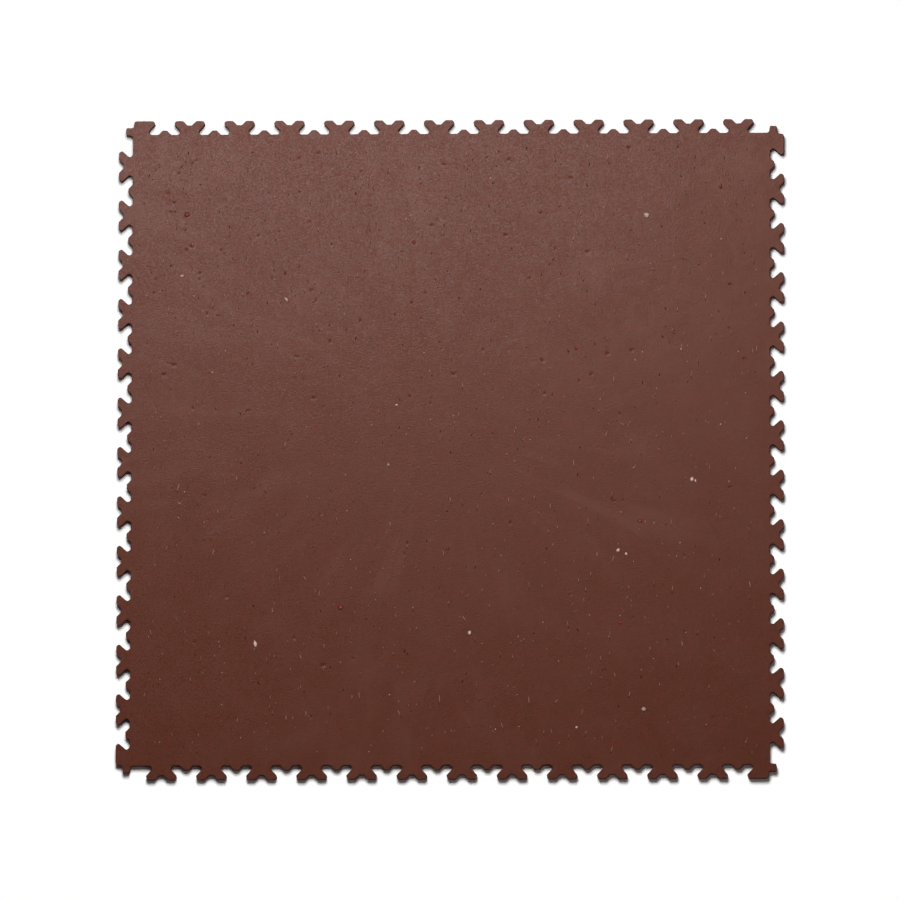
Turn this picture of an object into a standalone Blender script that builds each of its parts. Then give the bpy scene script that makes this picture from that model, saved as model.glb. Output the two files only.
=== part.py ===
"""Interlocking PVC floor tile: one moulded plate whose four sides carry hooked teeth.

The four sides are the same outline turned by a quarter, and each side is the neighbour's
side turned by a half, so any side of one tile locks into any side of the next.
Metres, +Z up. The origin is the middle of the underside, and the tile lies flat on z = 0.
"""
import math

import bmesh
import bpy
from mathutils import Vector

# Laid size of one tile, joint to joint, and the plate's thickness
LAID_SIZE = 0.500
THICKNESS = 0.007

# Pitches along one side: twelve whole teeth, and one more shared by the two corners.
# A plain margin at each end brings them up to the laid size.
PITCHES = 13
END_MARGIN = 0.0011
PITCH = (LAID_SIZE - 2 * END_MARGIN) / PITCHES
WHOLE_TEETH = 12

# The joint line runs this far out and in, half of it on each side of the laid square
TOOTH_LENGTH = 0.0107
TIP_LINE = LAID_SIZE / 2 + TOOTH_LENGTH / 2
ROOT_LINE = LAID_SIZE / 2 - TOOTH_LENGTH / 2

# Gap left between two tiles that are locked together
FIT_GAP = 0.0002

# Tooth head, from the tooth's centre line: end of its flat tip, and its widest place
TIP_HALF = 0.01035
HEAD_HALF = 0.01235
HEAD_DEPTH = 0.0023

# Notch in the middle of each tip, and the bump that fills it between two teeth
NOTCH_HALF_MOUTH = 0.0050
NOTCH_HALF_FLOOR = 0.0017
NOTCH_DEPTH = 0.00335

# Corner of the tile: the outer side of its half tooth leans from the root to the tip
CORNER_AT_ROOT = 0.2443
CORNER_AT_TIP = 0.2436

# Radii that round the corners of the joint line
NOTCH_FLOOR_RADIUS = 0.0012
NOTCH_MOUTH_RADIUS = 0.0016
TIP_RADIUS = 0.0017
HEAD_RADIUS = 0.0017
CORNER_TOOTH_RADIUS = 0.0020
TAB_RADIUS = 0.0013

# Largest turn between two neighbouring points of a rounded corner
ARC_STEP = math.radians(40)

# Colour and finish of the reclaimed brown PVC
PVC_COLOUR = (0.127, 0.054, 0.040, 1.0)
PVC_ROUGHNESS = 0.55

COLLECTION_NAME = "interlocking_pvc_floor_tile"
TILE_NAME = "floor_tile"
WELD_DISTANCE = 0.00001


def clear_scene():
    """Take every object out of the scene the script starts in."""
    for obj in list(bpy.data.objects):
        bpy.data.objects.remove(obj, do_unlink=True)


def flank_corners():
    """Corners of the joint line down the right side of a tooth, from its tip to its root.

    Each corner is (distance from the tooth's centre line, distance out, radius).
    The neck is the head turned by a half about the middle of the flank.
    """
    head = [
        (TIP_HALF, TIP_LINE, TIP_RADIUS),
        (HEAD_HALF, TIP_LINE - HEAD_DEPTH, HEAD_RADIUS),
    ]
    neck = [
        (PITCH / 2 - across, LAID_SIZE - out, radius)
        for across, out, radius in reversed(head)
    ]
    return head + neck


def notch_corners():
    """Corners of the right half of the notch in a tip, from its floor to its mouth."""
    return [
        (NOTCH_HALF_FLOOR, TIP_LINE - NOTCH_DEPTH, NOTCH_FLOOR_RADIUS),
        (NOTCH_HALF_MOUTH, TIP_LINE, NOTCH_MOUTH_RADIUS),
    ]


def bump_corners():
    """Corners of the right half of the bump between two teeth, from its crown to its foot."""
    return [(across, LAID_SIZE - out, radius) for across, out, radius in notch_corners()]


def mirrored(corners):
    """The same corners on the left of the centre line, in walking order."""
    return [(-across, out, radius) for across, out, radius in reversed(corners)]


def moved(corners, centre):
    """The corners with their centre line moved along the side."""
    return [(centre + across, out, radius) for across, out, radius in corners]


def side_corners():
    """Corners of the far side, walked from left to right with the tile on the right hand."""
    bump = mirrored(bump_corners()) + bump_corners()
    whole_tooth = mirrored(flank_corners()) + mirrored(notch_corners())
    whole_tooth += notch_corners() + flank_corners()
    half_tooth_centre = -LAID_SIZE / 2 + END_MARGIN + PITCH / 4

    corners = [(-CORNER_AT_TIP, TIP_LINE, CORNER_TOOTH_RADIUS)]
    corners += moved(flank_corners(), half_tooth_centre)
    for index in range(1, WHOLE_TEETH + 1):
        centre = half_tooth_centre + index * PITCH
        corners += moved(bump, centre - PITCH / 2)
        corners += moved(whole_tooth, centre)
    corners += [
        (CORNER_AT_TIP, ROOT_LINE, CORNER_TOOTH_RADIUS),
        (CORNER_AT_ROOT, LAID_SIZE / 2, TAB_RADIUS),
        (LAID_SIZE / 2, LAID_SIZE / 2, TAB_RADIUS),
        (LAID_SIZE / 2, CORNER_AT_ROOT, TAB_RADIUS),
    ]
    return corners


def tile_corners():
    """The corners of all four sides, each side the last one turned clockwise by a quarter."""
    corners = []
    side = side_corners()
    for _ in range(4):
        corners += side
        side = [(y, -x, radius) for x, y, radius in side]
    return corners


def rounded(corners):
    """Round every corner of a closed outline with an arc of its own radius."""
    points = []
    count = len(corners)
    for index, (x, y, radius) in enumerate(corners):
        here = Vector((x, y))
        back = (Vector(corners[index - 1][:2]) - here).normalized()
        ahead = (Vector(corners[(index + 1) % count][:2]) - here).normalized()
        turn = math.pi - back.angle(ahead)
        inward = (back + ahead).normalized()
        centre = here + inward * (radius / math.cos(turn / 2))
        steps = max(1, round(turn / ARC_STEP))
        spoke = -inward * radius
        side = 1 if back.x * ahead.y - back.y * ahead.x < 0 else -1
        for step in range(steps + 1):
            angle = side * turn * (step / steps - 0.5)
            points.append(centre + turned(spoke, angle))
    return points


def turned(vector, angle):
    """A flat vector turned anticlockwise by an angle."""
    cosine = math.cos(angle)
    sine = math.sin(angle)
    return Vector((vector.x * cosine - vector.y * sine, vector.x * sine + vector.y * cosine))


def drawn_in(points, distance):
    """Move a closed clockwise outline inwards by the same distance everywhere."""
    result = []
    count = len(points)
    for index, here in enumerate(points):
        before = (here - points[index - 1]).normalized()
        after = (points[(index + 1) % count] - here).normalized()
        normal_before = Vector((before.y, -before.x))
        normal_after = Vector((after.y, -after.x))
        mitre = (normal_before + normal_after) / (1 + normal_before.dot(normal_after))
        result.append(here + mitre * distance)
    return result


def plate_from_outline(name, points, thickness, collection):
    """Fill a flat outline, give it thickness and return it as a closed mesh object."""
    curve = bpy.data.curves.new(name + "_outline", "CURVE")
    curve.dimensions = "2D"
    curve.fill_mode = "BOTH"
    curve.extrude = thickness / 2
    spline = curve.splines.new("POLY")
    spline.points.add(len(points) - 1)
    for spline_point, point in zip(spline.points, points):
        spline_point.co = (point.x, point.y, 0.0, 1.0)
    spline.use_cyclic_u = True
    outline = bpy.data.objects.new(name + "_outline", curve)
    outline.location.z = thickness / 2
    collection.objects.link(outline)
    bpy.context.view_layer.update()

    depsgraph = bpy.context.evaluated_depsgraph_get()
    mesh = bpy.data.meshes.new_from_object(outline.evaluated_get(depsgraph))
    mesh.name = name
    plate = bpy.data.objects.new(name, mesh)
    plate.matrix_world = outline.matrix_world
    collection.objects.link(plate)
    bpy.data.objects.remove(outline, do_unlink=True)

    shell = bmesh.new()
    shell.from_mesh(mesh)
    bmesh.ops.remove_doubles(shell, verts=shell.verts, dist=WELD_DISTANCE)
    bmesh.ops.recalc_face_normals(shell, faces=shell.faces)
    shell.to_mesh(mesh)
    shell.free()
    return plate


def pvc_material():
    """Satin reddish-brown PVC."""
    material = bpy.data.materials.new("reclaimed_pvc")
    material.use_nodes = True
    shader = material.node_tree.nodes["Principled BSDF"]
    shader.inputs["Base Color"].default_value = PVC_COLOUR
    shader.inputs["Roughness"].default_value = PVC_ROUGHNESS
    shader.inputs["Metallic"].default_value = 0.0
    return material


def build_tile():
    """Build the whole tile as one moulded piece."""
    collection = bpy.data.collections.new(COLLECTION_NAME)
    bpy.context.scene.collection.children.link(collection)
    outline = drawn_in(rounded(tile_corners()), FIT_GAP / 2)
    tile = plate_from_outline(TILE_NAME, outline, THICKNESS, collection)
    tile.data.materials.append(pvc_material())
    return tile


clear_scene()
build_tile()
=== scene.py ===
"""Looks of an interlocking floor tile moulded in reclaimed brown PVC.

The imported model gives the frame. The tile is drawn again here as one fine skin: the joint line
of the solid with true arcs, a rounded rim carried along it, and a walking face that sinks by a
hair and has small pits. Chips of other plastics lie in that face, and the finish of the PVC
carries the grain of the mould and the streaks that ran out from its gate.
Metres, +Z up out of the walking face, +Y away from the viewer.
"""
import logging
import math
from dataclasses import dataclass, field
from enum import Enum

import bpy
import numpy as np
from mathutils import Matrix, Vector
from mathutils.geometry import delaunay_2d_cdt

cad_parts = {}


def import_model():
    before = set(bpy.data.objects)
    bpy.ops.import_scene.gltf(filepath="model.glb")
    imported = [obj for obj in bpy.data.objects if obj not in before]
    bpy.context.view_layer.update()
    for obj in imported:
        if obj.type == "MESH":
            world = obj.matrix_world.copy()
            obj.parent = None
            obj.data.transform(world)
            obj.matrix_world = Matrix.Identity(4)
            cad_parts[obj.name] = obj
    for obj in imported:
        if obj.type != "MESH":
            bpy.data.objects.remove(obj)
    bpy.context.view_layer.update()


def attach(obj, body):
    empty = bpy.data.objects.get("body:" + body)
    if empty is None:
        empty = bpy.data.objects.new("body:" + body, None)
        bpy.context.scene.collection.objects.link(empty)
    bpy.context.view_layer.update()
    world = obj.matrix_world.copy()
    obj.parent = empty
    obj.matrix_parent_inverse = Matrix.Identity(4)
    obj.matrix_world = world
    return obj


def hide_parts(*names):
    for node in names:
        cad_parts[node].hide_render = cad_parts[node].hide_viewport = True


LOG = logging.getLogger("floor_tile_looks")

BODY = "root"
SOLID = "floor_tile"

MILLIMETRE = 0.001
Colour = tuple[float, float, float]
Band = tuple[float, float]

# Sockets of a Mix node that mixes colours
MIX_SHARE, MIX_START, MIX_END, MIX_RESULT = 0, 6, 7, 2

# A fill keeps what lies inside its ring, and merges only points closer than this
FILL_INSIDE = 1
FILL_MERGE = 1e-9


def unit(vectors: np.ndarray) -> np.ndarray:
    """Scale each row to length one."""
    return vectors / np.linalg.norm(vectors, axis=-1, keepdims=True)


def smooth_step(values: np.ndarray) -> np.ndarray:
    """Rise softly from 0 to 1: three times the square less twice the cube, held between them."""
    held = np.clip(values, 0.0, 1.0)
    return held * held * (3.0 - 2.0 * held)


def mesh_from_arrays(name: str, points: np.ndarray, *face_sets: np.ndarray) -> bpy.types.Mesh:
    """Put whole arrays of points and faces into a new mesh.

    Args:
        name: Name of the mesh.
        points: Rows of x, y, z in metres.
        face_sets: Arrays of point numbers, one row a face, such as all quads and all triangles.

    Returns:
        The mesh, with smooth faces.
    """
    mesh = bpy.data.meshes.new(name)
    mesh.vertices.add(len(points))
    mesh.vertices.foreach_set("co", points.astype(np.float32).ravel())
    corners = np.concatenate([faces.ravel() for faces in face_sets])
    totals = np.concatenate([np.full(len(faces), faces.shape[1]) for faces in face_sets])
    mesh.loops.add(len(corners))
    mesh.loops.foreach_set("vertex_index", corners.astype(np.int32))
    mesh.polygons.add(len(totals))
    starts = np.concatenate([[0], np.cumsum(totals)[:-1]])
    mesh.polygons.foreach_set("loop_start", starts.astype(np.int32))
    mesh.polygons.foreach_set("use_smooth", np.ones(len(totals), dtype=bool))
    mesh.update(calc_edges=True)
    mesh.validate()
    return mesh


def put_on_tile(name: str, mesh: bpy.types.Mesh,
                *materials: bpy.types.Material) -> bpy.types.Object:
    """Make a piece of the tile that rides on its body.

    Args:
        name: Name of the piece.
        mesh: Its mesh, in the row frame.
        materials: Its finishes, in the order that its faces number them.

    Returns:
        The new object, at the origin.
    """
    piece = bpy.data.objects.new(name, mesh)
    bpy.context.scene.collection.objects.link(piece)
    for material in materials:
        mesh.materials.append(material)
    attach(piece, BODY)
    LOG.info("%s: %d points, %d faces", name, len(mesh.vertices), len(mesh.polygons))
    return piece


class ShaderGraph:
    """Short calls that add nodes to one material and join them."""

    def __init__(self, name: str) -> None:
        """Start a material that holds one Principled shader."""
        self.material = bpy.data.materials.new(name)
        self.material.use_nodes = True
        self.tree = self.material.node_tree
        self.shader = self.tree.nodes["Principled BSDF"]

    def add(self, kind: str, **settings: object) -> bpy.types.Node:
        """Add a node of one kind and set its options."""
        node = self.tree.nodes.new("ShaderNode" + kind)
        for option, value in settings.items():
            setattr(node, option, value)
        return node

    def feed(self, socket: bpy.types.NodeSocket, value: object) -> None:
        """Join an output to a socket, or set the socket to a plain value."""
        if isinstance(value, bpy.types.NodeSocket):
            self.tree.links.new(value, socket)
        else:
            socket.default_value = value

    def place(self) -> bpy.types.NodeSocket:
        """Object coordinates, in metres from the middle of the underside."""
        return self.add("TexCoord").outputs["Object"]

    def attribute(self, name: str) -> bpy.types.NodeSocket:
        """A number that the piece's own points carry."""
        return self.add("Attribute", attribute_name=name).outputs["Fac"]

    def sum(self, operation: str, *values: object) -> bpy.types.NodeSocket:
        """One sum on plain numbers.

        Args:
            operation: Name of the Math node's operation.
            values: Outputs or numbers, in the node's order.

        Returns:
            The result.
        """
        node = self.add("Math", operation=operation)
        for socket, value in zip(node.inputs, values):
            self.feed(socket, value)
        return node.outputs["Value"]

    def vector_sum(self, operation: str, *values: object) -> bpy.types.Node:
        """One sum on vectors.

        Args:
            operation: Name of the Vector Math node's operation.
            values: Outputs or vectors, in the node's order.

        Returns:
            The node, because some sums give a number and some a vector.
        """
        node = self.add("VectorMath", operation=operation)
        for socket, value in zip(node.inputs, values):
            self.feed(socket, value)
        return node

    def noise(self, vector: bpy.types.NodeSocket, scale: float, detail: float = 2.0,
              roughness: float = 0.5, dimensions: str = "2D") -> bpy.types.NodeSocket:
        """Soft noise.

        Args:
            vector: Where it is read.
            scale: Waves to the metre, or to one unit of the vector.
            detail: Octaves of finer noise.
            roughness: Share of each finer octave.
            dimensions: "2D" for a level face, which reads x and y alone, or "3D".

        Returns:
            A number near 0.5, seldom below 0.25 or above 0.75.
        """
        node = self.add("TexNoise", noise_dimensions=dimensions)
        self.feed(node.inputs["Vector"], vector)
        node.inputs["Scale"].default_value = scale
        node.inputs["Detail"].default_value = detail
        node.inputs["Roughness"].default_value = roughness
        return node.outputs["Fac"]

    def step(self, value: object, low: float, high: float,
             first: float = 0.0, last: float = 1.0) -> bpy.types.NodeSocket:
        """Rise softly from first to last while value goes from low to high."""
        node = self.add("MapRange", interpolation_type="SMOOTHSTEP")
        for name, setting in (("Value", value), ("From Min", low), ("From Max", high),
                              ("To Min", first), ("To Max", last)):
            self.feed(node.inputs[name], setting)
        return node.outputs["Result"]

    def mix(self, share: object, start: object, end: object) -> bpy.types.NodeSocket:
        """Mix two colours.

        Args:
            share: How much of the second, as an output or a number.
            start: First colour, as an output or three numbers.
            end: Second colour.

        Returns:
            The mixed colour.
        """
        node = self.add("Mix", data_type="RGBA")
        self.feed(node.inputs[MIX_SHARE], share)
        for place, value in ((MIX_START, start), (MIX_END, end)):
            self.feed(node.inputs[place], (*value, 1.0) if isinstance(value, tuple) else value)
        return node.outputs[MIX_RESULT]

    def bump(self, height: bpy.types.NodeSocket, depth: float,
             normal: bpy.types.NodeSocket | None = None) -> bpy.types.NodeSocket:
        """Tilt the surface by a height.

        Args:
            height: The height, from 0 to 1.
            depth: What a height of 1 stands for, in metres.
            normal: Output of an earlier bump that this one adds to.

        Returns:
            The new normal.
        """
        node = self.add("Bump")
        node.inputs["Distance"].default_value = depth
        self.feed(node.inputs["Height"], height)
        if normal is not None:
            self.feed(node.inputs["Normal"], normal)
        return node.outputs["Normal"]


@dataclass(frozen=True)
class JointLine:
    """The hooked line along which two tiles meet, and the outline that four of them make.

    A corner of the line is a row (across, out, radius): its place along the side, its distance
    out from the middle of the tile, and the radius of the arc that rounds it.
    """

    laid_size: float = 0.500
    end_margin: float = 0.0011
    pitches: int = 13
    whole_teeth: int = 12
    tooth_length: float = 0.0107
    fit_gap: float = 0.0002
    tip_half: float = 0.01035
    head_half: float = 0.01235
    head_depth: float = 0.0023
    notch_half_mouth: float = 0.0050
    notch_half_floor: float = 0.0017
    notch_depth: float = 0.00335
    corner_at_root: float = 0.2443
    corner_at_tip: float = 0.2436
    notch_floor_radius: float = 0.0012
    notch_mouth_radius: float = 0.0016
    tip_radius: float = 0.0017
    head_radius: float = 0.0017
    corner_tooth_radius: float = 0.0020
    tab_radius: float = 0.0013
    arc_pieces: int = 5

    @property
    def pitch(self) -> float:
        """Distance from one tooth to the next."""
        return (self.laid_size - 2 * self.end_margin) / self.pitches

    @property
    def tip_line(self) -> float:
        """How far out the flat tips of the teeth lie."""
        return (self.laid_size + self.tooth_length) / 2

    @property
    def root_line(self) -> float:
        """How far out the floors of the sockets lie."""
        return (self.laid_size - self.tooth_length) / 2

    def flank(self) -> np.ndarray:
        """Corners down the right side of a tooth.

        Returns:
            The head's two corners, then the neck's, which are the head's turned by a half.
        """
        head = np.array([
            (self.tip_half, self.tip_line, self.tip_radius),
            (self.head_half, self.tip_line - self.head_depth, self.head_radius),
        ])
        neck = np.array([self.pitch / 2, self.laid_size, 0.0]) + head[::-1] * (-1, -1, 1)
        return np.concatenate([head, neck])

    def notch(self) -> np.ndarray:
        """Corners of the right half of the notch in a tip, from its floor to its mouth."""
        return np.array([
            (self.notch_half_floor, self.tip_line - self.notch_depth, self.notch_floor_radius),
            (self.notch_half_mouth, self.tip_line, self.notch_mouth_radius),
        ])

    def side(self) -> np.ndarray:
        """Corners of the far side, from left to right.

        One bump and one tooth are repeated along the side, after the half tooth at its left
        end, and the tab ends it.

        Returns:
            Rows of (across, out, radius).
        """
        flank, notch = self.flank(), self.notch()
        bump = np.array([0.0, self.laid_size, 0.0]) + notch * (1, -1, 1)
        other_way = np.array([-1, 1, 1])
        unit_of_side = np.concatenate([
            bump[::-1] * other_way - (self.pitch / 2, 0, 0),
            bump - (self.pitch / 2, 0, 0),
            flank[::-1] * other_way,
            notch[::-1] * other_way,
            notch,
            flank,
        ])
        half_tooth = self.end_margin + self.pitch / 4 - self.laid_size / 2
        centres = half_tooth + self.pitch * np.arange(1, self.whole_teeth + 1)
        teeth = unit_of_side[None] + centres[:, None, None] * np.array([1, 0, 0])
        return np.concatenate([
            [(-self.corner_at_tip, self.tip_line, self.corner_tooth_radius)],
            flank + (half_tooth, 0, 0),
            teeth.reshape(-1, 3),
            [(self.corner_at_tip, self.root_line, self.corner_tooth_radius),
             (self.corner_at_root, self.laid_size / 2, self.tab_radius),
             (self.laid_size / 2, self.laid_size / 2, self.tab_radius),
             (self.laid_size / 2, self.corner_at_root, self.tab_radius)],
        ])

    def corners(self) -> np.ndarray:
        """Corners of all four sides, each the last one turned clockwise by a quarter."""
        sides = [self.side()]
        for _ in range(3):
            across, out, radius = sides[-1].T
            sides.append(np.stack([out, -across, radius], axis=1))
        return np.concatenate(sides)

    def outline(self) -> tuple[np.ndarray, np.ndarray]:
        """The rounded outline, clockwise seen from above, drawn in by half the gap.

        At each corner the arc's centre lies on the line that halves the corner, as far in as
        the radius over the cosine of half the turn. The arc's points are spokes of that
        length, turned in equal steps from one side's tangent to the other's.

        Returns:
            The points, and at each point the level direction straight out of the tile.
        """
        corners = self.corners()
        here, radius = corners[:, :2], corners[:, 2:]
        back = unit(np.roll(here, 1, axis=0) - here)
        ahead = unit(np.roll(here, -1, axis=0) - here)
        turn = math.pi - np.arccos(np.sum(back * ahead, axis=1, keepdims=True))
        inward = unit(back + ahead)
        centre = here + inward * radius / np.cos(turn / 2)
        bend = back[:, :1] * ahead[:, 1:] - back[:, 1:] * ahead[:, :1]
        hand = np.where(bend < 0, 1.0, -1.0)

        angle = hand * turn * np.linspace(-0.5, 0.5, self.arc_pieces + 1)
        cosine, sine = np.cos(angle), np.sin(angle)
        spoke = -np.stack([
            inward[:, :1] * cosine - inward[:, 1:] * sine,
            inward[:, :1] * sine + inward[:, 1:] * cosine,
        ], axis=2)
        points = (centre[:, None] + spoke * radius[:, None]).reshape(-1, 2)
        heading = np.roll(points, -1, axis=0) - np.roll(points, 1, axis=0)
        left_of_heading = np.stack([-heading[:, 1], heading[:, 0]], axis=1)
        spoke = spoke.reshape(-1, 2)
        way_out = spoke * np.sign(np.sum(spoke * left_of_heading, axis=1, keepdims=True))
        return points - way_out * self.fit_gap / 2, way_out


@dataclass(frozen=True)
class EdgeSection:
    """Section through the tile's edge: foot, wall and rim, from the underside to the top."""

    thickness: float = 0.007
    foot_radius: float = 0.0002
    rim_radius: float = 0.00045
    foot_pieces: int = 2
    rim_pieces: int = 4

    def profile(self) -> tuple[np.ndarray, np.ndarray, np.ndarray]:
        """Two quarter circles joined by the straight wall.

        Returns:
            Distance in from the outline, height, and the slope of the surface there as an
            angle above the level: -90 degrees at the foot, 0 on the wall, 90 at the top.
        """
        foot = np.linspace(-math.pi / 2, 0.0, self.foot_pieces + 1)
        rim = np.linspace(0.0, math.pi / 2, self.rim_pieces + 1)
        inset = np.concatenate([self.foot_radius * (1 - np.cos(foot)),
                                self.rim_radius * (1 - np.cos(rim))])
        height = np.concatenate([self.foot_radius * (1 + np.sin(foot)),
                                 self.thickness - self.rim_radius * (1 - np.sin(rim))])
        return inset, height, np.concatenate([foot, rim])


@dataclass(frozen=True)
class Mark:
    """One mark on the walking face, in millimetres from its middle."""

    x: float
    y: float
    length: float
    width: float
    turn: float = 0.0

    def row(self) -> tuple[float, float, float, float, float]:
        """x, y, length and width in metres, and the turn from +Y in radians."""
        scale = MILLIMETRE
        return (self.x * scale, self.y * scale, self.length * scale, self.width * scale,
                math.radians(self.turn))


@dataclass(frozen=True)
class Scatter:
    """Seeded random marks over the walking face, besides the few that are listed.

    Lengths and widths are in millimetres, from the shortest to the longest; short ones are the
    most common. The last four numbers say how many places are drawn for each mark that is
    wanted, the least chance that a place is kept, how much of a mark's width follows its
    length, and how far the turns spread as a share of the widest.
    """

    seed: int
    count: int
    length: tuple[float, float]
    width: tuple[float, float]
    turn_spread: float = 180.0
    slope: tuple[float, float] = (0.0, 0.0)
    reach: float = 0.236
    placed: tuple[Mark, ...] = ()
    drawn_for_each: int = 6
    least_chance: float = 0.02
    width_follows: float = 0.6
    turn_sigma: float = 0.5

    def rows(self) -> np.ndarray:
        """Draw places, then keep each with a chance that rises across the face.

        The chance is 1 plus the slope times the place as a share of the reach, over its
        greatest value. A size is the shortest plus the range times the cube of a random number.

        Returns:
            Rows of x, y, length, width and turn, in metres and radians.
        """
        chance = np.random.default_rng(self.seed)
        place = chance.uniform(-1.0, 1.0, (self.count * self.drawn_for_each, 2))
        weight = np.clip(1.0 + place @ np.array(self.slope), self.least_chance, None)
        kept = chance.uniform(0.0, 1.0 + np.abs(self.slope).sum(), len(place)) < weight
        place = place[kept][:self.count] * self.reach
        grow = chance.uniform(0.0, 1.0, (len(place), 1)) ** 3
        other = chance.uniform(0.0, 1.0, (len(place), 1))
        length = self.length[0] + (self.length[1] - self.length[0]) * grow
        wider = self.width_follows * grow + (1.0 - self.width_follows) * other
        width = self.width[0] + (self.width[1] - self.width[0]) * wider
        sway = chance.normal(0.0, self.turn_sigma, (len(place), 1))
        turn = np.radians(self.turn_spread) * sway
        drawn = np.hstack([place, length * MILLIMETRE, width * MILLIMETRE, turn])
        by_hand = np.array([mark.row() for mark in self.placed]).reshape(-1, 5)
        return np.vstack([by_hand, drawn])


@dataclass(frozen=True)
class TileFace:
    """Height of the walking face: level, a hair lower inside its edges, and gently uneven."""

    thickness: float = 0.007
    flush: float = 0.00002
    sink: float = 0.000015
    sink_starts: float = 0.244
    sink_run: float = 0.020
    ripple: float = 0.000005
    ripple_length: float = 0.055
    ripple_bend: float = 1.3
    bend_rate: float = 0.41
    cross_rate: float = 0.77

    def height(self, x: np.ndarray, y: np.ndarray) -> np.ndarray:
        """Thickness, less the sink, which comes in over a run inside the edge, and a ripple.

        The ripple is a sine across, bent by a slower sine along, times another sine along.

        Args:
            x: Places across, in metres.
            y: Places along.

        Returns:
            The height of the face at each place.
        """
        inside = self.sink_starts - np.maximum(np.abs(x), np.abs(y))
        share = smooth_step(inside / self.sink_run)
        wave = 2 * math.pi / self.ripple_length
        bend = self.ripple_bend * np.sin(wave * y * self.bend_rate)
        ripple = np.sin(wave * x + bend) * np.sin(wave * y * self.cross_rate)
        return self.thickness - self.flush - share * (self.sink + self.ripple * ripple)


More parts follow.
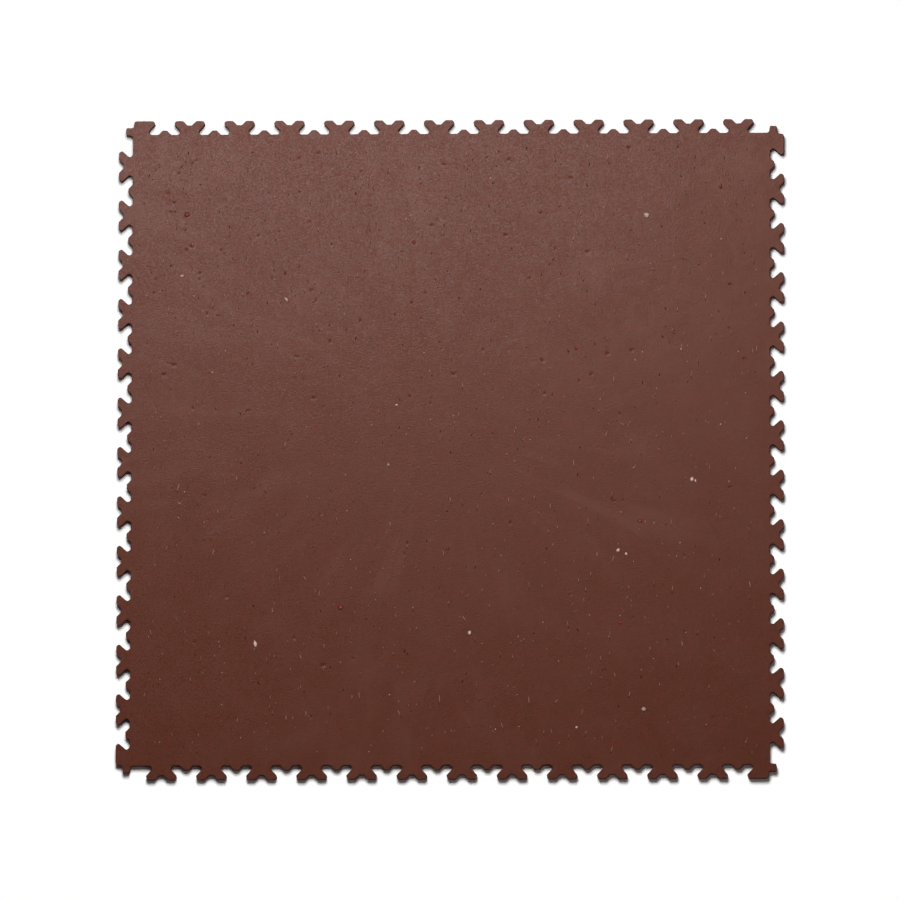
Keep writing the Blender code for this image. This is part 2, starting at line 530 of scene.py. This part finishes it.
@dataclass
class MouldedTile:
    """The whole moulding: its walls, rim, walking face with pits, and underside."""

    joint: JointLine = field(default_factory=JointLine)
    edge: EdgeSection = field(default_factory=EdgeSection)
    face: TileFace = field(default_factory=TileFace)
    grid_step: float = 0.0026
    clear_of_rim: float = 0.0012
    pit_depth: float = 0.00030
    pit_corners: int = 7
    pit_rings: tuple[float, float, float] = (0.0, 0.55, 1.0)
    pit_shares: tuple[float, float, float] = (1.0, 0.75, 0.0)
    clear_of_pit: float = 0.75
    pits: Scatter = Scatter(
        seed=41, count=80, length=(0.6, 1.6), width=(0.4, 0.7), turn_spread=40,
        slope=(-0.40, 0.60),
        placed=(
            Mark(-198.8, 222.2, 2.1, 0.9, 0), Mark(-212.7, 191.5, 1.1, 2.4, 0),
            Mark(-215.7, 184.5, 1.6, 1.4, 0), Mark(-212.0, 184.5, 1.3, 1.2, 0),
            Mark(-192.6, 205.3, 1.0, 1.7, 20), Mark(-102.2, 229.9, 2.1, 1.0, 30),
            Mark(-204.2, 169.9, 1.8, 1.0, 0), Mark(-215.0, 142.3, 2.2, 1.0, 8),
            Mark(-193.3, 132.2, 1.8, 1.0, 30), Mark(-116.2, 140.7, 1.4, 1.0, 0),
            Mark(-106.9, 123.1, 1.4, 1.0, 0), Mark(-226.6, 132.2, 1.2, 1.1, 0),
            Mark(129.5, 26.4, 1.6, 1.2, 0), Mark(98.4, 51.8, 1.4, 1.5, 0),
            Mark(107.8, 57.1, 1.5, 1.2, 0),
        ),
    )

    def walls(self) -> tuple[np.ndarray, np.ndarray, np.ndarray]:
        """The edge section carried along the outline.

        A point is the outline's point, less the inset along the way out, at the section's
        height. The top ring takes the height of the walking face.

        Returns:
            The points as (rings, points along, 3), their normals in the same shape, and the
            share of wall at each ring: 1 up the wall, falling to 0 where the rim meets the top.
        """
        outline, way_out = self.joint.outline()
        inset, height, slope = self.edge.profile()
        flat = outline[None] - way_out[None] * inset[:, None, None]
        level = np.broadcast_to(height[:, None, None], flat.shape[:2] + (1,))
        top = self.face.height(flat[..., 0], flat[..., 1])[..., None]
        points = np.concatenate([flat, np.minimum(level, top)], axis=2)
        normals = np.concatenate([
            way_out[None] * np.cos(slope)[:, None, None],
            np.broadcast_to(np.sin(slope)[:, None, None], flat.shape[:2] + (1,)),
        ], axis=2)
        return points, normals, np.cos(np.clip(slope, 0.0, None)) ** 2

    def pit_points(self) -> tuple[np.ndarray, np.ndarray]:
        """Points that shape the pits: a deep middle, a ring round the floor, a ring at the lip.

        Returns:
            Rows of x and y, and how deep each lies as a share of the pit's depth.
        """
        x, y, length, width, turn = self.pits.rows().T[..., None, None]
        around = np.arange(self.pit_corners) * 2 * math.pi / self.pit_corners
        reach = np.array(self.pit_rings)[:, None]
        across = reach * np.cos(around) * width / 2
        along = reach * np.sin(around) * length / 2
        flat = np.stack([x + across * np.cos(turn) - along * np.sin(turn),
                         y + across * np.sin(turn) + along * np.cos(turn)], axis=-1)
        depths = np.broadcast_to(np.array(self.pit_shares)[:, None], flat.shape[:-1])
        middle = (slice(None), 0, slice(0, 1))
        rings = (slice(None), slice(1, None))
        return (np.concatenate([flat[middle].reshape(-1, 2), flat[rings].reshape(-1, 2)]),
                np.concatenate([depths[middle].ravel(), depths[rings].ravel()]))

    def grid_points(self) -> np.ndarray:
        """A square grid over the face, without the places that a pit or the rim takes."""
        reach = self.joint.root_line - self.clear_of_rim
        ticks = np.linspace(-reach, reach, round(2 * reach / self.grid_step))
        grid = np.stack(np.meshgrid(ticks, ticks), axis=-1).reshape(-1, 2)
        clear = np.ones(len(grid), dtype=bool)
        for x, y, length, width, _ in self.pits.rows():
            size = max(length, width) * self.clear_of_pit
            clear &= np.hypot(grid[:, 0] - x, grid[:, 1] - y) > size
        return grid[clear]

    @staticmethod
    def fill(ring: np.ndarray, inner: np.ndarray) -> np.ndarray:
        """Fill a closed ring with triangles that use the inner points too.

        Args:
            ring: Rows of x and y round the edge.
            inner: Rows of x and y inside it.

        Returns:
            Rows of three point numbers, anticlockwise seen from above. The ring's points come
            first, then the inner ones.
        """
        flat = np.concatenate([ring, inner])
        count = len(ring)
        ids = np.arange(count)
        loop = np.stack([ids, (ids + 1) % count], axis=1)
        found = delaunay_2d_cdt(list(map(Vector, flat.tolist())), loop.tolist(), [],
                                FILL_INSIDE, FILL_MERGE)
        if len(found[0]) != len(flat):
            raise ValueError("the fill merged or added points")
        order = np.fromiter((sources[0] for sources in found[3]), int, len(flat))
        faces = order[np.array(found[2])]
        a, b, c = (flat[faces[:, k]] for k in range(3))
        area = (b[:, 0] - a[:, 0]) * (c[:, 1] - a[:, 1]) - (b[:, 1] - a[:, 1]) * (c[:, 0] - a[:, 0])
        faces[area < 0] = faces[area < 0][:, ::-1]
        return faces

    def mesh(self) -> bpy.types.Mesh:
        """Join walls, face and underside into one closed skin.

        Returns:
            The mesh. Its points carry side_wall, the share of wall, and pit, the share of a
            pit's depth. The face and rim take the first finish, the rest the second.
        """
        walls, wall_normals, share = self.walls()
        rings, around = walls.shape[:2]
        pit_places, pit_shares = self.pit_points()
        grid = self.grid_points()
        inner = np.concatenate([pit_places, grid])
        depth = np.concatenate([pit_shares, np.zeros(len(grid))])
        height = self.face.height(inner[:, 0], inner[:, 1]) - depth * self.pit_depth
        points = np.concatenate([walls.reshape(-1, 3), np.column_stack([inner, height])])

        ring_ids = np.arange(rings * around).reshape(rings, around)
        next_ids = np.roll(ring_ids, -1, axis=1)
        quads = np.stack([ring_ids[:-1], ring_ids[1:], next_ids[1:], next_ids[:-1]], axis=-1)
        top_ids = np.concatenate([ring_ids[-1], rings * around + np.arange(len(inner))])
        top = top_ids[self.fill(walls[-1, :, :2], inner)]
        under = ring_ids[0][self.fill(walls[0, :, :2], np.empty((0, 2)))][:, ::-1]

        mesh = mesh_from_arrays("tile_skin", points, quads.reshape(-1, 4), top, under)
        upright = np.arange(rings - 1) <= self.edge.foot_pieces
        finish = np.concatenate([np.repeat(upright, around), np.zeros(len(top)),
                                 np.ones(len(under))])
        mesh.polygons.foreach_set("material_index", finish.astype(np.int32))
        wall_share = np.zeros(len(points))
        wall_share[:rings * around] = np.repeat(share, around)
        pit_share = np.zeros(len(points))
        pit_share[rings * around:] = depth
        for name, values in (("side_wall", wall_share), ("pit", pit_share)):
            layer = mesh.attributes.new(name, "FLOAT", "POINT")
            layer.data.foreach_set("value", values.astype(np.float32))
        normals = np.zeros((len(points), 3))
        normals[:rings * around] = wall_normals.reshape(-1, 3)
        mesh.normals_split_custom_set_from_vertices(normals)
        return mesh

    def build(self, face: "WalkingFaceFinish", wall: "ShadedWallFinish") -> bpy.types.Object:
        """Make the moulding and let it stand for the solid."""
        piece = put_on_tile("moulded_tile", self.mesh(), face.material(), wall.material())
        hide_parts(SOLID)
        return piece


@dataclass(frozen=True)
class WalkingFaceFinish:
    """Satin face of brown PVC that was milled and moulded again.

    It has a fine leathery grain, soft streaks that ran out from the gate, granules that differ
    a little in tone, finer ones that differ in gloss, and faint clouds where the melt was not
    mixed through. The gloss differs most towards the crisp side and least on the worn one.

    Names that end in waves count a noise's waves to the metre, a band is the part of a noise
    over which its effect comes in, and a share is how much of another colour is mixed in.
    """

    base: Colour = (0.0608, 0.0130, 0.0050)
    pale: Colour = (0.125, 0.058, 0.044)
    red: Colour = (0.086, 0.012, 0.006)
    # Darker granules take this colour, and the pits are painted with it as shade
    dark: Colour = (0.014, 0.0022, 0.0010)
    # Painted shade: the rim is darkened towards this, the walls' shaded tone, as it turns down
    rim: Colour = (0.045, 0.0060, 0.0025)
    roughness: float = 0.40
    rim_roughness: float = 0.60
    gloss: float = 0.35
    gate: tuple[float, float, float] = (-0.0104, 0.0216, 0.0)
    rays: float = 9.0
    ray_length: float = 0.110
    ray_share: float = 0.12
    ray_start: Band = (0.025, 0.075)
    ray_band: Band = (0.47, 0.70)
    ray_bend: float = 2.2
    ray_bend_waves: float = 14.0
    ray_patch_waves: float = 7.5
    ray_patch_band: Band = (0.42, 0.62)
    ray_patch_least: float = 0.15
    cloud_waves: float = 24.0
    cloud_band: Band = (0.35, 0.70)
    cloud_share: float = 0.05
    trace_waves: float = 90.0
    trace_band: Band = (0.62, 0.72)
    trace_share: float = 0.20
    # How much painted shade darkens the deepest part of a pit
    pit_share: float = 0.9
    patch_waves: float = 120.0
    patch_band: Band = (0.35, 0.65)
    patch_spread: float = 0.02
    granule_size: float = 0.0012
    granule_share: float = 0.18
    glint: float = 0.45
    glint_size: float = 0.0006
    crisp_side: tuple[float, float, float] = (-0.8, 0.6, 0.0)
    worn_at: float = -0.10
    crisp_at: float = 0.12
    worn: float = 0.35
    grain_size: float = 0.0012
    grain_smoothness: float = 0.5
    grain_depth: float = 0.00007
    fine_waves: float = 800.0
    fine_share: float = 0.35

    def streaks(self, graph: ShaderGraph) -> bpy.types.NodeSocket:
        """Pale streaks that fan out from the gate.

        The noise is read at the direction from the gate, so it is drawn out along each ray,
        and changes slowly with the distance. A second, wide noise lets the streaks show in
        some places only.
        """
        offset = graph.vector_sum("SUBTRACT", graph.place(), self.gate).outputs["Vector"]
        level = graph.vector_sum("MULTIPLY", offset, (1.0, 1.0, 0.0)).outputs["Vector"]
        bent = graph.noise(level, self.ray_bend_waves)
        distance = graph.vector_sum("LENGTH", level).outputs["Value"]
        direction = graph.vector_sum("NORMALIZE", level).outputs["Vector"]
        spread = graph.vector_sum("SCALE", direction)
        spread.inputs["Scale"].default_value = self.rays
        along = graph.add("CombineXYZ")
        graph.feed(along.inputs["X"], graph.sum("MULTIPLY", bent, self.ray_bend))
        graph.feed(along.inputs["Z"], graph.sum("DIVIDE", distance, self.ray_length))
        read_at = graph.vector_sum("ADD", spread.outputs["Vector"], along.outputs["Vector"])
        fine = graph.noise(read_at.outputs["Vector"], 1.0, detail=4.0, roughness=0.62,
                           dimensions="3D")
        rays = graph.step(fine, *self.ray_band)
        patches = graph.noise(level, self.ray_patch_waves, detail=1.0)
        where = graph.step(patches, *self.ray_patch_band, first=self.ray_patch_least)
        off_centre = graph.step(distance, *self.ray_start)
        return graph.sum("MULTIPLY", graph.sum("MULTIPLY", rays, where), off_centre)

    @staticmethod
    def granules(graph: ShaderGraph, size: float) -> bpy.types.NodeSocket:
        """A number from 0 to 1 that differs from one granule of the given size to the next."""
        cells = graph.add("TexVoronoi", voronoi_dimensions="2D")
        graph.feed(cells.inputs["Vector"], graph.place())
        cells.inputs["Scale"].default_value = 1.0 / size
        parts = graph.add("SeparateColor")
        graph.feed(parts.inputs["Color"], cells.outputs["Color"])
        return parts.outputs["Red"]

    def crispness(self, graph: ShaderGraph) -> bpy.types.NodeSocket:
        """How much the fine granules' gloss differs: most in the far left corner.

        It rises softly with the distance towards the crisp side.
        """
        towards = graph.vector_sum("DOT_PRODUCT", graph.place(), self.crisp_side)
        return graph.step(towards.outputs["Value"], self.worn_at, self.crisp_at,
                          first=self.worn)

    def colour(self, graph: ShaderGraph) -> bpy.types.NodeSocket:
        """Base colour: clouds, granules, streaks, red traces, and painted shade in the pits and on
        the rim.
        """
        place = graph.place()
        clouds = graph.noise(place, self.cloud_waves, detail=3.0, roughness=0.55)
        clouded = graph.step(clouds, *self.cloud_band, last=self.cloud_share)
        tone = graph.mix(clouded, self.base, self.pale)
        granule = self.granules(graph, self.granule_size)
        darkened = graph.step(granule, 0.0, 1.0, first=self.granule_share, last=0.0)
        tone = graph.mix(darkened, tone, self.dark)
        tone = graph.mix(graph.sum("MULTIPLY", self.streaks(graph), self.ray_share),
                         tone, self.pale)
        traces = graph.noise(place, self.trace_waves)
        tone = graph.mix(graph.step(traces, *self.trace_band, last=self.trace_share),
                         tone, self.red)
        # Painted shade: each pit is darkened by its depth
        tone = graph.mix(graph.sum("MULTIPLY", graph.attribute("pit"), self.pit_share),
                         tone, self.dark)
        # Painted shade: the rim darkens towards the walls' tone as it turns down to them
        return graph.mix(graph.attribute("side_wall"), tone, self.rim)

    def grain(self, graph: ShaderGraph) -> bpy.types.NodeSocket:
        """Leathery grain: small rounded cells, pushed about by noise, over soft waviness."""
        place = graph.place()
        cells = graph.add("TexVoronoi", voronoi_dimensions="2D", feature="SMOOTH_F1")
        graph.feed(cells.inputs["Vector"], place)
        cells.inputs["Scale"].default_value = 1.0 / self.grain_size
        cells.inputs["Smoothness"].default_value = self.grain_smoothness
        raised = graph.sum("SUBTRACT", 1.0, cells.outputs["Distance"])
        normal = graph.bump(raised, self.grain_depth)
        fine = graph.noise(place, self.fine_waves, roughness=0.6)
        return graph.bump(fine, self.grain_depth * self.fine_share, normal)

    def material(self) -> bpy.types.Material:
        """The finished material."""
        graph = ShaderGraph("reclaimed_pvc_face")
        shader = graph.shader
        graph.feed(shader.inputs["Base Color"], self.colour(graph))
        patchy = graph.step(graph.noise(graph.place(), self.patch_waves), *self.patch_band,
                            first=self.roughness - self.patch_spread,
                            last=self.roughness + self.patch_spread)
        glint = graph.sum("SUBTRACT", self.granules(graph, self.glint_size), 0.5)
        glint = graph.sum("MULTIPLY", glint, self.crispness(graph))
        glinting = graph.sum("MULTIPLY_ADD", glint, self.glint, patchy)
        on_rim = graph.attribute("side_wall")
        rough = graph.sum("MULTIPLY_ADD", on_rim, self.rim_roughness - self.roughness, glinting)
        graph.feed(shader.inputs["Roughness"], rough)
        graph.feed(shader.inputs["Normal"], self.grain(graph))
        shader.inputs["Specular IOR Level"].default_value = self.gloss
        return graph.material


@dataclass(frozen=True)
class ShadedWallFinish:
    """Dull, deep brown-red of the walls and the underside, darker than the face as painted shade on
    the walls.
    """

    # Both tones are the face's PVC darkened as painted shade for the walls; the underside shares
    # them
    base: Colour = (0.045, 0.0045, 0.0020)
    pale: Colour = (0.060, 0.0100, 0.0060)
    roughness: float = 0.75
    gloss: float = 0.10
    cloud_waves: float = 300.0
    cloud_band: Band = (0.40, 0.70)
    spread: float = 0.05
    grain_waves: float = 1200.0
    grain_depth: float = 0.00003

    def material(self) -> bpy.types.Material:
        """Soft clouds in two tones, both darkened as painted shade, with a faint grain."""
        graph = ShaderGraph("shaded_pvc_wall")
        place = graph.place()
        melt = graph.noise(place, self.cloud_waves, detail=3.0, roughness=0.6, dimensions="3D")
        clouds = graph.step(melt, *self.cloud_band)
        graph.feed(graph.shader.inputs["Base Color"], graph.mix(clouds, self.base, self.pale))
        rough = graph.step(clouds, 0.0, 1.0, first=self.roughness - self.spread,
                           last=self.roughness + self.spread)
        graph.feed(graph.shader.inputs["Roughness"], rough)
        fine = graph.noise(place, self.grain_waves, dimensions="3D")
        graph.feed(graph.shader.inputs["Normal"], graph.bump(fine, self.grain_depth))
        graph.shader.inputs["Specular IOR Level"].default_value = self.gloss
        return graph.material


@dataclass(frozen=True)
class ChipFinish:
    """Finish of the chips of one other plastic, each a little darker or lighter."""

    name: str
    colour: Colour
    other_colour: Colour
    roughness: float
    gloss: float = 0.5
    tone_waves: float = 70.0
    tone_band: Band = (0.40, 0.60)
    scratch_waves: float = 900.0
    scratch_band: Band = (0.3, 0.7)
    scratch_spread: float = 0.06

    def material(self) -> bpy.types.Material:
        """Two tones of the plastic, changing from chip to chip, with a scratched roughness."""
        graph = ShaderGraph(self.name)
        place = graph.place()
        tone = graph.step(graph.noise(place, self.tone_waves, detail=1.0), *self.tone_band)
        graph.feed(graph.shader.inputs["Base Color"],
                   graph.mix(tone, self.colour, self.other_colour))
        rough = graph.step(graph.noise(place, self.scratch_waves), *self.scratch_band,
                           first=self.roughness - self.scratch_spread,
                           last=self.roughness + self.scratch_spread)
        graph.feed(graph.shader.inputs["Roughness"], rough)
        graph.shader.inputs["Specular IOR Level"].default_value = self.gloss
        return graph.material


class ChipKind(Enum):
    """The other plastics that went into the melt."""

    PALE_CHIP = ChipFinish("pale_chip_plastic", (0.40, 0.27, 0.23), (0.26, 0.16, 0.13), 0.50)
    PALE_SPLINTER = ChipFinish("pale_splinter_plastic", (0.17, 0.080, 0.062),
                               (0.105, 0.040, 0.029), 0.50)
    DARK_SPECK = ChipFinish("dark_speck_plastic", (0.010, 0.003, 0.002),
                            (0.022, 0.006, 0.004), 0.85, 0.05)
    RED_FLECK = ChipFinish("red_fleck_plastic", (0.16, 0.016, 0.012), (0.11, 0.014, 0.008), 0.50)


@dataclass(frozen=True)
class ChipField:
    """All the chips of one kind, as one piece: thin lenses with ragged edges in the face."""

    name: str
    kind: ChipKind
    scatter: Scatter
    ragged: float = 0.25
    edge_points: int = 7
    stand: float = 0.000018
    edge_sunk: float = 0.1
    depth: float = 0.00012

    def mesh(self, face: TileFace) -> bpy.types.Mesh:
        """Lay a lens at each place.

        The edge of a lens is an ellipse whose radius varies from point to point by a random
        share. It lies under the face by a share of the crown's stand, with the crown above
        the face and the heel below.

        Args:
            face: The walking face that the chips lie in.

        Returns:
            One mesh of closed lenses.
        """
        x, y, length, width, turn = self.scatter.rows().T[..., None]
        count, edge = len(x), self.edge_points
        chance = np.random.default_rng(self.scatter.seed + 1)
        around = np.arange(edge) * 2 * math.pi / edge + chance.uniform(0, 1, (count, 1))
        swell = 1.0 + self.ragged * chance.uniform(-1.0, 1.0, (count, edge))
        across = np.cos(around) * swell * width / 2
        along = np.sin(around) * swell * length / 2
        rim_x = x + across * np.cos(turn) - along * np.sin(turn)
        rim_y = y + across * np.sin(turn) + along * np.cos(turn)
        rim = np.stack([rim_x, rim_y, face.height(rim_x, rim_y) - self.stand * self.edge_sunk],
                       axis=-1)
        level = face.height(x, y)
        crown = np.stack([x, y, level + self.stand], axis=-1)
        heel = np.stack([x, y, level - self.depth], axis=-1)
        points = np.concatenate([rim, crown, heel], axis=1)

        ids = np.arange(edge)
        following = (ids + 1) % edge
        top = np.stack([ids, following, np.full(edge, edge)], axis=1)
        bottom = np.stack([following, ids, np.full(edge, edge + 1)], axis=1)
        lens = np.concatenate([top, bottom])
        faces = lens[None] + (np.arange(count) * (edge + 2))[:, None, None]
        return mesh_from_arrays(self.name, points.reshape(-1, 3), faces.reshape(-1, 3))

    def build(self, face: TileFace) -> bpy.types.Object:
        """Make the chips as one piece on the tile."""
        return put_on_tile(self.name, self.mesh(face), self.kind.value.material())


@dataclass(frozen=True)
class ChippedFace:
    """Every kind of chip in the walking face."""

    pale_chips: ChipField = ChipField("pale_chips", ChipKind.PALE_CHIP, Scatter(
        seed=7, count=150, length=(0.8, 1.8), width=(0.7, 1.2), turn_spread=60,
        placed=(
            Mark(150.2, 180.7, 5.8, 6.1, 20), Mark(-126.2, 116.1, 5.5, 2.9, 30),
            Mark(-206.5, 134.5, 3.1, 4.8, 10), Mark(185.0, -24.6, 4.1, 3.2, 0),
            Mark(187.8, -25.8, 2.9, 2.0, 0), Mark(-148.6, -151.4, 8.0, 3.6, 0),
            Mark(148.6, -202.2, 4.5, 4.1, 0), Mark(128.6, -79.2, 3.6, 3.9, 0),
            Mark(134.8, -82.2, 3.1, 2.5, 0), Mark(15.1, -143.0, 4.1, 3.2, 0),
            Mark(97.0, -216.0, 2.9, 2.5, 0), Mark(-41.3, 33.9, 2.5, 2.5, 0),
            Mark(-47.5, -12.3, 2.5, 2.3, 0),
        )))
    pale_splinters: ChipField = ChipField("pale_splinters", ChipKind.PALE_SPLINTER, Scatter(
        seed=19, count=1040, length=(1.8, 8.0), width=(0.75, 1.15), turn_spread=24,
        slope=(-0.10, 0.25),
        placed=(
            Mark(95.8, -126.4, 8.0, 0.8, -61), Mark(-207.3, 127.6, 1.8, 1.2, 0),
            Mark(-76.2, -140.4, 6.8, 0.9, -12), Mark(-102.5, -86.6, 5.0, 0.9, 0),
            Mark(-96.3, -153.3, 5.4, 0.9, -8), Mark(-56.7, -111.8, 2.4, 1.2, 0),
            Mark(119.6, 10.9, 8.2, 0.8, -12), Mark(136.2, 17.4, 6.0, 0.8, -8),
            Mark(52.8, -91.1, 7.6, 0.7, 24), Mark(-173.7, -105.5, 3.2, 0.8, 0),
        )))
    dark_specks: ChipField = ChipField("dark_specks", ChipKind.DARK_SPECK, Scatter(
        seed=31, count=520, length=(0.8, 3.0), width=(0.55, 1.0), turn_spread=30,
        slope=(-0.15, 0.60)))
    red_flecks: ChipField = ChipField("red_flecks", ChipKind.RED_FLECK, Scatter(
        seed=23, count=22, length=(0.7, 1.8), width=(0.6, 1.2), turn_spread=120,
        placed=(
            Mark(-202.6, 182.2, 4.2, 5.2, 0), Mark(206.6, 203.0, 3.8, 3.2, 0),
            Mark(-28.2, 159.9, 3.2, 3.2, 0), Mark(96.2, 77.7, 3.5, 2.8, 0),
            Mark(-31.3, 41.5, 3.0, 2.8, 0), Mark(-1.9, -77.7, 3.2, 2.8, 0),
            Mark(130.1, -135.3, 3.2, 3.0, 0), Mark(-83.6, -123.1, 4.5, 4.5, 0),
            Mark(145.3, -56.7, 3.2, 4.5, 0),
        )))

    def build(self, face: TileFace) -> None:
        """Make the chips of each kind."""
        for chips in (self.pale_chips, self.pale_splinters, self.dark_specks, self.red_flecks):
            chips.build(face)


@dataclass(frozen=True)
class Softbox:
    """A flat, soft studio light that faces one point.

    It may light without showing in the gloss, as through a polariser, or show in the gloss
    alone, as a dim card does.
    """

    name: str
    place: tuple[float, float, float]
    aim: tuple[float, float, float]
    size: tuple[float, float]
    power: float
    lights: bool = True
    glosses: bool = True

    def build(self) -> bpy.types.Object:
        """Hang the light and turn it to its aim."""
        data = bpy.data.lights.new(self.name, "AREA")
        data.shape = "RECTANGLE"
        data.size, data.size_y = self.size
        data.energy = self.power
        lamp = bpy.data.objects.new(self.name, data)
        bpy.context.scene.collection.objects.link(lamp)
        lamp.location = self.place
        facing = Vector(self.aim) - Vector(self.place)
        lamp.rotation_euler = facing.to_track_quat("-Z", "Y").to_euler()
        lamp.visible_camera = False
        lamp.visible_diffuse = self.lights
        lamp.visible_glossy = self.glosses
        return lamp


@dataclass(frozen=True)
class PhotoCamera:
    """A long lens almost straight above, leaning so that the near walls show a little.

    The lean is how far the camera stands east and south for each metre of height. The tile's
    middle falls where the photograph has it, and the tile's sides stay level and upright.
    """

    lens: float = 800.0
    sensor: float = 36.0
    photo_side: int = 900
    pixels_to_metre: float = 1306.5
    lean: tuple[float, float] = (0.04, -0.16)
    roll: float = 0.182
    tile_middle: tuple[float, float] = (450.31, 448.46)
    face_height: float = 0.007
    clip_end: float = 60.0

    def build(self) -> bpy.types.Object:
        """Stand the camera and make it the scene's.

        The camera backs off along its lean until a metre on the tile spans the wanted pixels.
        """
        data = bpy.data.cameras.new("photo_camera")
        data.lens = self.lens
        data.sensor_width = self.sensor
        data.clip_end = self.clip_end
        camera = bpy.data.objects.new("photo_camera", data)
        bpy.context.scene.collection.objects.link(camera)
        back = Vector((*self.lean, 1.0)).normalized()
        right = Vector((0.0, 1.0, 0.0)).cross(back).normalized()
        up = back.cross(right)
        half = self.photo_side / 2
        off_right = (half - self.tile_middle[0]) / self.pixels_to_metre
        off_up = (self.tile_middle[1] - half) / self.pixels_to_metre
        aim = Vector((0.0, 0.0, self.face_height)) + right * off_right + up * off_up
        distance = self.photo_side * self.lens / (self.sensor * self.pixels_to_metre)
        turned = Matrix((right, up, back)).transposed().to_4x4()
        turned = turned @ Matrix.Rotation(math.radians(self.roll), 4, "Z")
        camera.matrix_world = Matrix.Translation(aim + back * distance) @ turned
        bpy.context.scene.camera = camera
        return camera


@dataclass(frozen=True)
class Dome:
    """Dim, warm light from all round, with a pale band at the horizon as the backdrop."""

    overhead: Colour = (0.066, 0.048, 0.044)
    horizon: Colour = (0.95, 0.95, 0.945)
    band_top: float = 0.20

    def build(self) -> bpy.types.World:
        """The light falls softly from the horizon to the top of the band, then stays level."""
        world = bpy.data.worlds.new("even_dome")
        world.use_nodes = True
        tree = world.node_tree
        direction = tree.nodes.new("ShaderNodeTexCoord")
        parts = tree.nodes.new("ShaderNodeSeparateXYZ")
        rise = tree.nodes.new("ShaderNodeMapRange")
        rise.interpolation_type = "SMOOTHSTEP"
        rise.inputs["From Max"].default_value = self.band_top
        light = tree.nodes.new("ShaderNodeMix")
        light.data_type = "RGBA"
        light.inputs[MIX_START].default_value = (*self.horizon, 1.0)
        light.inputs[MIX_END].default_value = (*self.overhead, 1.0)
        tree.links.new(direction.outputs["Generated"], parts.inputs["Vector"])
        tree.links.new(parts.outputs["Z"], rise.inputs["Value"])
        tree.links.new(rise.outputs["Result"], light.inputs[MIX_SHARE])
        tree.links.new(light.outputs[MIX_RESULT], tree.nodes["Background"].inputs["Color"])
        return world


@dataclass(frozen=True)
class Studio:
    """White floor, one softbox high over the far side, and a dim dome."""

    floor_half: float = 30.0
    floor_middle: Colour = (0.545, 0.545, 0.54)
    floor_outer: Colour = (0.93, 0.93, 0.925)
    floor_run: tuple[float, float] = (0.20, 1.40)
    dome: Dome = Dome()
    softboxes: tuple[Softbox, ...] = (
        Softbox("high_softbox", (-0.10, 0.66, 1.7), (-0.08, 0.55, 0.0), (0.62, 0.86), 58.0,
                glosses=False),
        Softbox("sheen_card", (-0.29, 0.75, 1.0), (-0.29, 0.75, 0.0), (1.2, 1.06), 14.0,
                lights=False),
        Softbox("near_fill", (0.45, -0.55, 1.0), (0.25, -0.30, 0.0), (0.5, 0.5), 0.8),
    )
    camera: PhotoCamera = PhotoCamera()

    def floor(self) -> bpy.types.Object:
        """A large matt floor at the height of the tile's underside.

        It is graduated paper, a little darker right under the high softbox, so that it looks
        evenly white.
        """
        half = self.floor_half
        points = np.array([(-half, -half, 0), (half, -half, 0), (half, half, 0), (-half, half, 0)])
        mesh = mesh_from_arrays("studio_floor", points, np.array([[0, 1, 2, 3]]))
        graph = ShaderGraph("white_floor")
        under_light = (*self.softboxes[0].place[:2], 0.0)
        offset = graph.vector_sum("SUBTRACT", graph.place(), under_light).outputs["Vector"]
        distance = graph.vector_sum("LENGTH", offset).outputs["Value"]
        graph.feed(graph.shader.inputs["Base Color"], graph.mix(
            graph.step(distance, *self.floor_run), self.floor_middle, self.floor_outer))
        graph.shader.inputs["Roughness"].default_value = 1.0
        graph.shader.inputs["Specular IOR Level"].default_value = 0.0
        mesh.materials.append(graph.material)
        floor = bpy.data.objects.new("studio_floor", mesh)
        bpy.context.scene.collection.objects.link(floor)
        return floor

    def build(self) -> None:
        """Lay the floor, light it and stand the camera."""
        self.floor()
        scene = bpy.context.scene
        scene.view_settings.view_transform = "Standard"
        scene.world = self.dome.build()
        for softbox in self.softboxes:
            softbox.build()
        self.camera.build()
        LOG.info("studio: floor, dome, %d softboxes and camera", len(self.softboxes))


def main() -> None:
    """Load the frame, build the tile, its chips and the studio."""
    logging.basicConfig(level=logging.INFO, format="%(message)s")
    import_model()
    tile = MouldedTile()
    tile.build(WalkingFaceFinish(), ShadedWallFinish())
    ChippedFace().build(tile.face)
    Studio().build()


if __name__ == "__main__":
    main()
